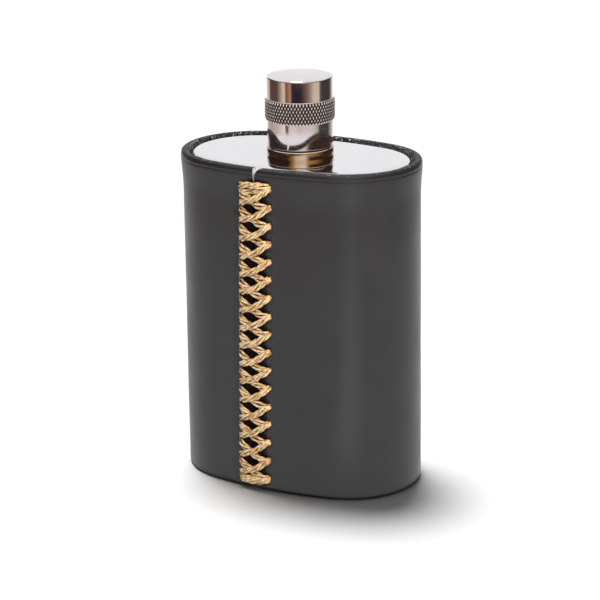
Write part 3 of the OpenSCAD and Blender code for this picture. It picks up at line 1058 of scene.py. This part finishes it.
def make_bars():
    """Bar stitches that close the lacing at each end, each of two strands."""
    build = ([], [], [], [])
    last = SLOT_PAIRS - 1
    top_l, top_r = slot_z(-1, last), slot_z(1, last)
    low_l, low_r = slot_z(-1, 0), slot_z(1, 0)
    bars = (
        ((LEFT_END, top_l + 1.5 * MM), (RIGHT_END, top_r + 0.9 * MM), OVER_H, CROSSING_H, -0.5 * MM, 1.0),
        ((LEFT_END, top_l - 0.3 * MM), (RIGHT_END, top_r + 0.1 * MM), UNDER_H, UNDER_H, 0.3 * MM, 0.8),
        ((LEFT_END, low_l + 0.3 * MM), (RIGHT_END, low_r - 0.4 * MM), UNDER_H, UNDER_H, 0.2 * MM, 0.8),
        ((LEFT_END, low_l - 0.6 * MM), (RIGHT_END, low_r - 0.6 * MM), OVER_H, OVER_H * 1.3, 0.5 * MM, 0.9),
    )
    for seed, (start, end, rest_h, mid_h, sag, width) in enumerate(bars, 301):
        add_strand(build, strand_path(start, end, rest_h, mid_h, sag), 1.2, seed, width)
    finish_cord("stitches_bar", build)


make_stitches()
make_bars()

# ---------------------------------------------------------------- vessel

RING_COUNT = 192


def oval_ring(grow, z):
    """Closed ring of the oval section at height z."""
    return [(*oval.at(oval.length * k / RING_COUNT, grow)[0], z) for k in range(RING_COUNT)]


def round_ring(radius, z):
    """Closed circular ring whose points match those of an oval ring."""
    ring = []
    for k in range(RING_COUNT):
        point, _ = oval.at(oval.length * k / RING_COUNT)
        ring.append((*(point.normalized() * radius), z))
    return ring


def between(a, b, t):
    """The ring a share t of the way from ring a to ring b."""
    return [tuple(mix(p, q, t) for p, q in zip(pa, pb)) for pa, pb in zip(a, b)]


def crown_at(inside):
    """Height of the top plate's face above its edge, at a distance inside it: flat but for a rounded edge."""
    return CROWN_RISE * (1 - (1 - inside / CROWN_W) ** CROWN_POWER)


def rounded_edge(radius, z, rise):
    """Rings round a quarter circle from the wall to a face at height z. rise is 1 on top, -1 at the foot."""
    rings = []
    for angle in spread(0, math.pi / 2, 5):
        inset = radius * (1 - math.cos(angle))
        rings.append(oval_ring(-PLATE_INSET - inset, z - rise * radius * (1 - math.sin(angle))))
    return rings


def make_top_plate():
    """Crowned mirror plate with a softly rolled edge, a flange and the neck's hole."""
    edge_z = DECK_Z - CROWN_RISE
    roll = 0.35 * MM
    rings = [oval_ring(-PLATE_INSET - SHEET_T, plate_lo.z),
             oval_ring(-PLATE_INSET - SHEET_T, edge_z - SHEET_T),
             oval_ring(-PLATE_INSET, edge_z - SHEET_T)]
    rings += rounded_edge(roll, edge_z, 1)
    for inside in spread(roll, CROWN_W, 24)[1:]:
        rings.append(oval_ring(-PLATE_INSET - inside, edge_z + crown_at(inside)))
    flat_edge = rings[-1]
    hole = round_ring(SPOUT_R, DECK_Z)
    rings += [between(flat_edge, hole, t) for t in spread(0, 1, 7)[1:]]
    underside = DECK_Z - SHEET_T
    rings += [round_ring(SPOUT_R, underside), oval_ring(-PLATE_INSET - CROWN_W, underside),
              oval_ring(-PLATE_INSET - 2 * SHEET_T, edge_z - SHEET_T - 0.1 * MM),
              oval_ring(-PLATE_INSET - 2 * SHEET_T, plate_lo.z)]
    verts, faces = stitch_rings(rings, closed=True)
    piece = make_piece("mirror_plate", verts, faces, [MIRROR])
    dress(piece, "flask", "top_plate")


def make_base_plate():
    """Pressed bottom of the vessel, with a rounded heel and a flange inside the wall."""
    heel = 0.3 * MM
    panel = 3.2 * MM
    panel_rise = 0.25 * MM
    centre_r = 0.5 * MM
    rings = [oval_ring(-PLATE_INSET - 2 * SHEET_T, base_hi.z), oval_ring(-PLATE_INSET - SHEET_T, base_hi.z),
             oval_ring(-PLATE_INSET - SHEET_T, SHEET_T), oval_ring(-PLATE_INSET, SHEET_T)]
    rings += rounded_edge(heel, 0.0, -1)
    rings += [oval_ring(-PLATE_INSET - panel, 0.0), oval_ring(-PLATE_INSET - panel - 0.4 * MM, panel_rise)]
    inner = oval_ring(-PLATE_INSET - CROWN_W, panel_rise)
    rings.append(inner)
    centre = round_ring(centre_r, panel_rise)
    rings += [between(inner, centre, t) for t in (0.5, 1.0)]
    upper_z = SHEET_T + 0.1 * MM
    upper = [round_ring(centre_r, upper_z), oval_ring(-PLATE_INSET - 2 * SHEET_T, upper_z)]
    n = RING_COUNT
    verts, faces = stitch_rings(rings)
    faces.append(tuple((len(rings) - 1) * n + k for k in range(n)))
    base = len(verts)
    verts += upper[0] + upper[1]
    faces.append(tuple(base + k for k in reversed(range(n))))
    for k in range(n):
        m = (k + 1) % n
        faces.append((base + k, base + m, base + n + m, base + n + k))
        faces.append((base + n + k, base + n + m, m, k))
    piece = make_piece("pressed_base", verts, faces, [BRUSHED])
    dress(piece, "flask", "base_plate")


make_top_plate()
make_base_plate()

# ---------------------------------------------------------------- neck

THREAD_SEGMENTS = 144
THREAD_STEP = 0.1 * MM
THREAD_FADE = 1.2 * MM
RIDGE_FOOT = 0.62
RIDGE_FLANK = 0.40


def thread_height(z, angle, low, high):
    """Share of the ridge's height on a right-hand thread that fades out at its two ends."""
    phase = (z / THREAD_PITCH - angle / FULL_TURN) % 1.0
    from_crest = abs(phase - 0.5) * 2
    ridge = clamp((RIDGE_FOOT - from_crest) / RIDGE_FLANK)
    return ridge * smooth(z, low, low + THREAD_FADE) * (1 - smooth(z, high - THREAD_FADE, high))


def threaded_rings(root, out, z_from, z_to, low, high):
    """Rings up a wall that carries a thread. out is 1 for an outer wall and -1 for an inner one."""
    count = max(2, round(abs(z_to - z_from) / THREAD_STEP))
    rings = []
    for z in spread(z_from, z_to, count):
        ring = []
        for k in range(THREAD_SEGMENTS):
            angle = FULL_TURN * k / THREAD_SEGMENTS
            r = root + out * THREAD_H * thread_height(z, angle, low, high)
            ring.append((r * math.cos(angle), r * math.sin(angle), z))
        rings.append(ring)
    return rings


def plain_rings(points, radius=0.12 * MM):
    """Circular rings along an open profile with rounded corners."""
    angles = [FULL_TURN * k / THREAD_SEGMENTS for k in range(THREAD_SEGMENTS)]
    return [[(p[0] * math.cos(a), p[0] * math.sin(a), p[1]) for a in angles] for p in fillet(points, radius)]


def make_spout():
    """Spout with a bore, a right-hand thread, a rounded lip and a flange under the top plate."""
    tail, rim = spout_lo.z, spout_hi.z
    flange_top = DECK_Z - SHEET_T
    flange_low = flange_top - SPOUT_FLANGE_T
    lip = 0.35 * MM
    thread_low, thread_high = collar_hi.z + 1.2 * MM, rim - 0.8 * MM
    rings = plain_rings([(BORE_R, tail + 0.01 * MM), (SPOUT_R - 0.2 * MM, tail), (SPOUT_R, tail + 0.2 * MM),
                         (SPOUT_R, flange_low), (SPOUT_FLANGE_R, flange_low), (SPOUT_FLANGE_R, flange_top),
                         (SPOUT_R, flange_top), (SPOUT_R, thread_low)])
    rings += threaded_rings(SPOUT_R, 1, thread_low, thread_high, thread_low, thread_high)[1:]
    rings += plain_rings([(SPOUT_R, rim - lip), (SPOUT_R - lip * 0.3, rim - lip * 0.3), (SPOUT_R - lip, rim),
                          (BORE_R + lip, rim), (BORE_R + lip * 0.3, rim - lip * 0.3), (BORE_R, rim - lip),
                          (BORE_R, mix(rim, tail, 0.5)), (BORE_R, tail + 0.3 * MM)])
    verts, faces = stitch_rings(rings, closed=True)
    piece = make_piece("threaded_spout", verts, faces, [COLLAR_METAL])
    dress(piece, "flask", "neck_spout")


def make_collar():
    """Low ring under the cap, with a crisp bright upper edge."""
    low, high = collar_lo.z - 0.3 * MM, collar_hi.z
    piece = turned("collar_ring", [(SPOUT_R, low), (COLLAR_R, low), (COLLAR_R, high - 0.25 * MM),
                                   (COLLAR_R - 0.25 * MM, high), (SPOUT_R, high)], COLLAR_METAL, 0.12 * MM)
    dress(piece, "flask", "neck_collar")


make_spout()
make_collar()

# ---------------------------------------------------------------- cap

CAP_WALL = 0.7 * MM
CAP_EDGE = 0.28 * MM
KNURL_COUNT = 64
KNURL_H = 1.85 * MM
KNURL_DEPTH = 0.34 * MM
KNURL_ACROSS = 10
KNURL_BEVEL = 0.62 * MM
KNURL_ROWS = 70
KNURL_STEEPNESS = 2.1


def make_cap_shell():
    """Drawn shell of the cap, open below."""
    low, high = cap_lo.z, cap_hi.z
    inner_top = high - CAP_WALL
    piece = turned("cap_body", [
        (0, inner_top), (LINER_R, inner_top), (LINER_R, low + 0.2 * MM), (LINER_R + 0.15 * MM, low),
        (CAP_R - 0.2 * MM, low), (CAP_R, low + 0.2 * MM), (CAP_R, high - CAP_EDGE), (CAP_R - CAP_EDGE, high),
        (0, high)], CAP_METAL, 0.22 * MM)
    dress(piece, "cap", "cap_shell")


def knurl_height(z, angle):
    """Share of a diamond's height: two families of V grooves cross and leave pyramids between them."""
    turn = KNURL_COUNT * angle / FULL_TURN
    rise = z / KNURL_H
    a = (turn + rise) % 1.0
    b = (turn - rise) % 1.0
    return clamp(KNURL_STEEPNESS * min(a, 1 - a, b, 1 - b))


def make_grip_ring():
    """Grip ring with true diamond knurling and a bevel at each edge."""
    low, high = grip_lo.z, grip_hi.z
    count = KNURL_COUNT * KNURL_ACROSS
    rings, hollow = [], []
    for z in spread(low, high, KNURL_ROWS + 1):
        from_edge = min(z - low, high - z)
        bevel = KNURL_BEVEL * (1 - clamp(from_edge / KNURL_BEVEL)) * 0.7
        ring = []
        for k in range(count):
            angle = FULL_TURN * k / count
            depth = (1 - knurl_height(z, angle)) * smooth(from_edge, 0, 0.3 * MM)
            # The grooves' share of patina and painted shade.
            hollow.append(smooth(depth, 0.38, 0.62))
            r = GRIP_R - bevel - KNURL_DEPTH * depth
            ring.append((r * math.cos(angle), r * math.sin(angle), z))
        rings.append(ring)
    for z in (high, low):
        r = CAP_R - 0.02 * MM
        rings.append([(r * math.cos(FULL_TURN * k / count), r * math.sin(FULL_TURN * k / count), z)
                      for k in range(count)])
    hollow += [0.0] * (2 * count)
    verts, faces = stitch_rings(rings, closed=True)
    piece = make_piece("grip_ring", verts, faces, [KNURL_METAL], hollow=hollow)
    dress(piece, "cap", "cap_grip_ring")


def make_liner():
    """Threaded insert of the cap."""
    low, high = liner_lo.z, liner_hi.z
    floor_z = slip_hi.z
    top_floor = floor_z + 1.6 * MM
    thread_low, thread_high = low + 0.6 * MM, collar_hi.z + 10.4 * MM
    outer = LINER_R - 0.03 * MM
    rings = threaded_rings(GROOVE_R, -1, thread_high, thread_low, thread_low, thread_high)
    rings += plain_rings([(GROOVE_R, thread_low - 0.1 * MM), (GROOVE_R, low), (outer, low), (outer, high),
                          (GROOVE_R, high), (GROOVE_R, top_floor), (0.4 * MM, top_floor)])
    rings += plain_rings([(0.4 * MM, floor_z), (GROOVE_R, floor_z), (GROOVE_R, thread_high + 0.1 * MM)])
    verts, faces = stitch_rings(rings, closed=True)
    piece = make_piece("threaded_liner", verts, faces, [PLASTIC])
    dress(piece, "cap", "cap_liner")


def make_disc(name, node_box, material, body, node):
    """A small disc with rounded edges."""
    low, high = node_box
    piece = turned(name, [(0, low.z), (high.x, low.z), (high.x, high.z), (0, high.z)], material, 0.3 * MM, 96)
    dress(piece, body, node)


make_cap_shell()
make_grip_ring()
make_liner()
make_disc("seal_disc", (seal_lo, seal_hi), SILICONE, "seal", "cap_seal")
make_disc("slip_disc", (slip_lo, slip_hi), PLASTIC, "slip_disc", "cap_slip_disc")

# ---------------------------------------------------------------- hidden wall of the vessel

wall = frame["nodes"]["body_shell"]
wall.data.materials.clear()
wall.data.materials.append(BRUSHED)

# ---------------------------------------------------------------- stage

FLOOR_R = 4.0
CARD_R = 0.34
CARD_STEPS = 24
REFLECTOR_Z = 0.2 * MM
FOOT_REFLECTOR_GAP = 1.5 * MM
FOOT_REFLECTOR_R = 0.20
FOOT_REFLECTOR_GLOW = 0.95
FRONT_REFLECTOR_AZIMUTHS = (-6, 18)
FRONT_REFLECTOR_RADII = (0.06, 0.32)
FRONT_REFLECTOR_GLOW = 1.7
CAMERA_AZIMUTH = 28.06
CAMERA_ELEVATION = 17.96
CAMERA_DISTANCE = 0.6415
CAMERA_LENS = 129.15
CAMERA_PAN = -0.0629
CAMERA_TILT = 0.3176
CAMERA_ROLL = -0.756
MIDDLE = Vector((0, 0, SLEEVE_TOP / 2))
TOP_AZIMUTH = 202
TOP_ELEVATION = 77.5
TOP_SOFTNESS = 17
TOP_POWER = 3.3
SOFTBOX_POWER = 10.0
SOFTBOX_W = 0.6
SOFTBOX_H = 0.40
SOFTBOX_AZIMUTH = 24
SOFTBOX_ELEVATION = 42
SOFTBOX_DISTANCE = 0.9
WORLD_SEEN = 1.0
WORLD_LIGHT = 0.09


def make_camera():
    """Long lens, a little above the flask, from the front and the right."""
    a, e = math.radians(CAMERA_AZIMUTH), math.radians(CAMERA_ELEVATION)
    back = Vector((math.sin(a) * math.cos(e), -math.cos(a) * math.cos(e), math.sin(e)))
    up = Vector((0, 0, 1))
    pan, tilt, roll = (math.radians(v) for v in (CAMERA_PAN, CAMERA_TILT, CAMERA_ROLL))
    ahead = -back
    right = ahead.cross(up).normalized()
    ahead = (ahead * math.cos(pan) + right * math.sin(pan)).normalized()
    right = ahead.cross(up).normalized()
    above = right.cross(ahead)
    ahead = (ahead * math.cos(tilt) + above * math.sin(tilt)).normalized()
    above = right.cross(ahead)
    right, above = (right * math.cos(roll) + above * math.sin(roll),
                    above * math.cos(roll) - right * math.sin(roll))
    data = bpy.data.cameras.new("camera")
    data.lens = CAMERA_LENS
    data.clip_start = 0.01
    camera = bpy.data.objects.new("camera", data)
    axes = Matrix((right, above, -ahead)).transposed()
    camera.matrix_world = Matrix.Translation(MIDDLE + back * CAMERA_DISTANCE) @ axes.to_4x4()
    bpy.context.scene.collection.objects.link(camera)
    bpy.context.scene.camera = camera


def stage_material(name, colour, emission=0.0):
    """Plain matte finish for the floor, or a black that glows in the colour for a card."""
    material = bpy.data.materials.new(name)
    material.use_nodes = True
    shader = material.node_tree.nodes["Principled BSDF"]
    shader.inputs["Base Color"].default_value = (*colour, 1)
    shader.inputs["Roughness"].default_value = 0.9
    if emission:
        shader.inputs["Base Color"].default_value = (0, 0, 0, 1)
        shader.inputs["Specular IOR Level"].default_value = 0
        shader.inputs["Emission Color"].default_value = (*colour, 1)
        shader.inputs["Emission Strength"].default_value = emission
    return material


def make_floor():
    """Plain pale floor."""
    ring = [(FLOOR_R * math.cos(a), FLOOR_R * math.sin(a), 0) for a in spread(0, FULL_TURN, 65)[:-1]]
    floor = make_piece("floor", ring, [tuple(range(64))], [stage_material("floor_white", (0.93, 0.93, 0.93))])


def from_camera(azimuth):
    """Direction in the horizontal plane at an azimuth counted from the camera, in degrees."""
    angle = math.radians(CAMERA_AZIMUTH - 90 + azimuth)
    return Vector((math.cos(angle), math.sin(angle), 0))


def make_card_ring(name, low, high, stops):
    """Curved card round the flask that only reflections see. stops are (azimuth from the camera, colour)."""
    first, last = stops[0][0], stops[-1][0]
    steps = CARD_STEPS * 4
    verts, uvs = [], []
    for z in (low, high):
        for k in range(steps + 1):
            verts.append(from_camera(mix(first, last, k / steps)) * CARD_R + Vector((0, 0, z)))
            uvs.append((k / steps, 0.5))
    faces = [(k, k + 1, steps + k + 2, steps + k + 1) for k in range(steps)]
    material = stage_material(name, (1.0, 1.0, 1.0), 1.0)
    tree = material.node_tree
    place = tree.nodes.new("ShaderNodeTexCoord")
    parts = tree.nodes.new("ShaderNodeSeparateXYZ")
    tree.links.new(place.outputs["UV"], parts.inputs["Vector"])
    shares = [((azimuth - first) / (last - first), tint) for azimuth, tint in stops]
    colour = ramp(tree, shares, parts.outputs["X"])
    tree.links.new(colour, tree.nodes["Principled BSDF"].inputs["Emission Color"])
    reflection_only(make_piece(name, verts, faces, [material], loop_uv=uvs))


def reflection_only(card):
    """Makes a stage card that only reflections see."""
    card.visible_camera = False
    card.visible_diffuse = False
    card.visible_shadow = False
    card.visible_transmission = False


def make_front_reflector():
    """White card just over the floor in front, seen only in reflections: the sleeve reflects it as a painted,
    unshadowed floor, and its glow, brighter than the floor, paints a soft highlight on the sleeve's front.
    """
    steps = 2 * CARD_STEPS
    start, end = FRONT_REFLECTOR_AZIMUTHS
    verts = [from_camera(mix(start, end, k / steps)) * r + Vector((0, 0, 2 * REFLECTOR_Z))
             for r in FRONT_REFLECTOR_RADII for k in range(steps + 1)]
    faces = [(k, steps + 1 + k, steps + 2 + k, k + 1) for k in range(steps)]
    white = stage_material("card_floor_front", (1.0, 1.0, 1.0), FRONT_REFLECTOR_GLOW)
    reflection_only(make_piece("card_floor_front", verts, faces, [white]))


def make_foot_reflector():
    """White card that follows the sleeve's foot out to the floor's own light: seen only in reflections, it is
    a painted reflection of a floor without the flask's shadow.
    """
    count = 4 * CARD_STEPS
    places = [oval.length * k / count for k in range(count)]
    inner = [(*oval.at(s, FOOT_REFLECTOR_GAP)[0], REFLECTOR_Z) for s in places]
    outer = [(*(oval.at(s)[0].normalized() * FOOT_REFLECTOR_R), REFLECTOR_Z) for s in places]
    verts, faces = stitch_rings([inner, outer])
    white = stage_material("card_foot", (1.0, 1.0, 1.0), FOOT_REFLECTOR_GLOW)
    reflection_only(make_piece("card_foot", verts, faces, [white]))


def aim(light, location, target):
    """Puts a light at a place and turns it to face the target."""
    light.location = location
    light.rotation_mode = "QUATERNION"
    light.rotation_quaternion = (Vector(target) - Vector(location)).to_track_quat("-Z", "Y")
    bpy.context.scene.collection.objects.link(light)


def around_flask(azimuth, elevation, distance):
    """Place at an azimuth counted from the camera, in degrees, seen from the middle of the flask."""
    e = math.radians(elevation)
    return (from_camera(azimuth) * math.cos(e) + Vector((0, 0, math.sin(e)))) * distance + MIDDLE


def make_top_light():
    """Large soft light high behind the flask, whose shadow falls towards the camera."""
    data = bpy.data.lights.new("top_light", "SUN")
    data.energy = TOP_POWER
    data.angle = math.radians(TOP_SOFTNESS)
    aim(bpy.data.objects.new("top_light", data), around_flask(TOP_AZIMUTH, TOP_ELEVATION, 2.0), MIDDLE)


def make_softbox():
    """Softbox over the camera, flagged off the floor so that only the flask is lit."""
    data = bpy.data.lights.new("softbox", "AREA")
    data.shape = "RECTANGLE"
    data.size = SOFTBOX_W
    data.size_y = SOFTBOX_H
    data.energy = SOFTBOX_POWER
    light = bpy.data.objects.new("softbox", data)
    light.visible_glossy = False
    aim(light, around_flask(SOFTBOX_AZIMUTH, SOFTBOX_ELEVATION, SOFTBOX_DISTANCE), MIDDLE)
    lit = bpy.data.collections.new("lit_by_softbox")
    for piece in bpy.context.scene.objects:
        if piece.type == "MESH" and piece.name != "floor" and not piece.name.startswith("card"):
            lit.objects.link(piece)
    light.light_linking.receiver_collection = lit


def make_world():
    """Even white surroundings, dimmer as a source of light than they look."""
    world = bpy.data.worlds.new("studio")
    world.use_nodes = True
    tree = world.node_tree
    background = tree.nodes["Background"]
    background.inputs["Color"].default_value = (1, 1, 1, 1)
    path = tree.nodes.new("ShaderNodeLightPath")
    strength = add_node(tree, "ShaderNodeMapRange")
    strength.inputs["To Min"].default_value = WORLD_SEEN
    strength.inputs["To Max"].default_value = WORLD_LIGHT
    tree.links.new(path.outputs["Is Diffuse Ray"], strength.inputs["Value"])
    tree.links.new(strength.outputs["Result"], background.inputs["Strength"])
    bpy.context.scene.world = world


make_camera()
make_floor()
make_world()
make_top_light()
make_softbox()

# Colours of the glowing cards, listed by azimuth from the camera: painted reflections, each ring named for
# the part of the flask whose reflection it sets.
BLACK_BROWN = (0.045, 0.024, 0.018)
GOLD = (0.60, 0.30, 0.10)
COPPER = (0.26, 0.085, 0.045)
CHARCOAL = (0.058, 0.060, 0.056)
TAN = (0.80, 0.67, 0.53)

SKIRT_STOPS = (
    (-150, (0.78, 0.64, 0.58)), (-116, (0.59, 0.43, 0.33)), (-84, (0.72, 0.62, 0.52)),
    (-58, (1.0, 0.93, 0.86)), (-53, (1.0, 0.93, 0.86)), (-52, COPPER), (-41, COPPER),
    (-40, (0.86, 0.68, 0.60)), (-24, (0.92, 0.82, 0.77)), (0, (0.72, 0.64, 0.60)), (14, (0.84, 0.73, 0.68)),
    (40, (0.88, 0.75, 0.70)), (62, (0.60, 0.50, 0.44)), (70, CHARCOAL), (112, CHARCOAL),
    (124, (0.34, 0.30, 0.31)), (150, (0.9, 0.82, 0.84)),
)
WALL_STOPS = (
    (-150, TAN), (-132, TAN), (-120, (0.13, 0.08, 0.05)), (-84, (0.12, 0.08, 0.065)),
    (-70, (0.46, 0.33, 0.26)), (-60, TAN), (-52, TAN), (-49, COPPER), (-44, (0.34, 0.14, 0.08)),
    (-37, (0.50, 0.23, 0.12)), (-32, (0.50, 0.30, 0.18)), (-27, (0.050, 0.030, 0.042)),
    (-14, (0.032, 0.018, 0.026)), (4, (0.038, 0.023, 0.030)), (17, (0.13, 0.09, 0.09)),
    (28, (0.28, 0.19, 0.145)), (39, (0.50, 0.40, 0.28)), (50, TAN), (68, TAN), (74, (0.17, 0.12, 0.12)),
    (84, CHARCOAL), (118, CHARCOAL), (130, (0.16, 0.13, 0.14)), (140, (0.70, 0.64, 0.62)),
    (150, (0.78, 0.70, 0.68)),
)
PLATE_EDGE_STOPS = (
    (-150, BLACK_BROWN), (-38, BLACK_BROWN), (-26, GOLD), (-12, (0.95, 0.80, 0.60)),
    (14, (0.95, 0.80, 0.60)), (26, (0.62, 0.32, 0.10)), (48, (0.52, 0.26, 0.08)), (74, (0.16, 0.08, 0.04)),
    (90, BLACK_BROWN), (150, BLACK_BROWN),
)
COLLAR_STOPS = (
    (-140, (0.16, 0.10, 0.07)), (-120, BLACK_BROWN), (-46, BLACK_BROWN), (-36, (0.30, 0.14, 0.05)),
    (-26, GOLD), (-17, (1.0, 0.80, 0.55)), (-9, (1.0, 0.96, 0.88)), (14, (1.0, 0.96, 0.88)),
    (24, (0.50, 0.38, 0.28)), (32, (0.10, 0.06, 0.05)), (50, BLACK_BROWN), (118, (0.06, 0.035, 0.03)),
    (140, (0.3, 0.2, 0.16)),
)
CARD_RINGS = (
    ("card_skirt", 0.012, 0.0345, SKIRT_STOPS),
    ("card_wall", 0.0355, 0.09, WALL_STOPS),
    ("card_plate_edge", 0.0905, 0.1790, PLATE_EDGE_STOPS),
    ("card_collar", 0.1790, 0.34, COLLAR_STOPS),
)

for ring_name, ring_low, ring_high, ring_stops in CARD_RINGS:
    make_card_ring(ring_name, ring_low, ring_high, ring_stops)
make_foot_reflector()
make_front_reflector()

scene = bpy.context.scene
scene.view_settings.view_transform = "Standard"
scene.view_settings.look = "None"
